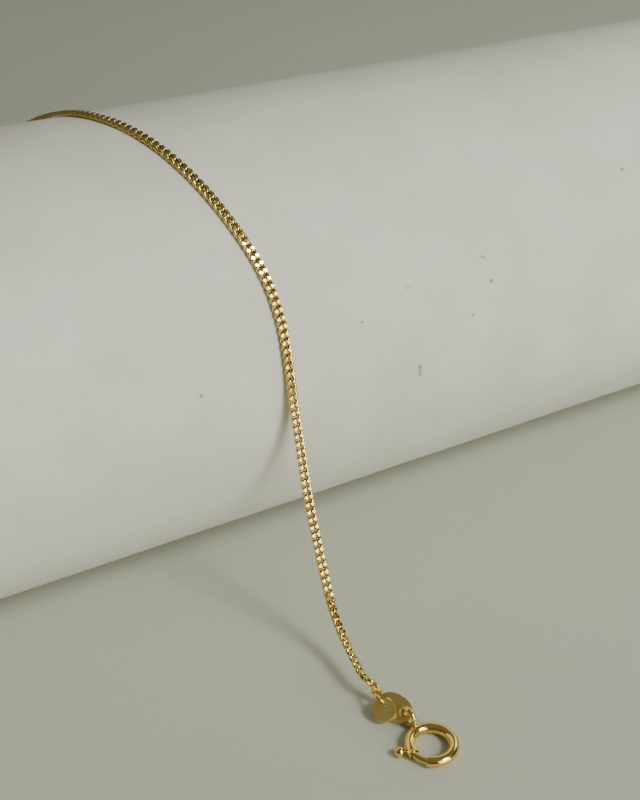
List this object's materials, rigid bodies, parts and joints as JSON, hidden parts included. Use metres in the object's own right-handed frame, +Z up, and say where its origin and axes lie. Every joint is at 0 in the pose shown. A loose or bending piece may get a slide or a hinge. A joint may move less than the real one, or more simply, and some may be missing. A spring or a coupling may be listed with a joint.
{
  "type": "curb chain necklace with spring ring clasp on a display roll",
  "caption": "Fine curb chain necklace, unfastened and draped over a plain white display roll, with a spring ring clasp whose bolt slides open, small plain tags and a ring at the far end.",
  "frame": {"origin": "middle of the flat under the roll, on the table", "axes": "+Z up, X along the roll, -Y to the front, where the clasp lies; +Y to the back, where the chain lies in a broad bend"},
  "size_m": [0.15, 0.2109, 0.0543],
  "materials": {
    "gold": "polished",
    "plaster": "matt"
  },
  "bodies": {
    "necklace_on_roll": {"display_roll": "plaster", "chain": "gold", "end_collar": "gold", "tag_ring": "gold", "oval_tag": "gold", "round_tag": "gold", "clasp_housing": "gold", "far_end_ring": "gold"},
    "bolt": {"clasp_bolt": "gold"}
  },
  "joints": [
    {"name": "bolt_slide", "type": "hinge", "parent": "necklace_on_roll", "child": "bolt", "pos_m": [-0.01866, -0.05562, 0.00062], "axis": [0, 0, -1], "range_deg": [0, 44], "stiffness_Nm_per_rad": 0.002, "springref_deg": -22.92}
  ]
}
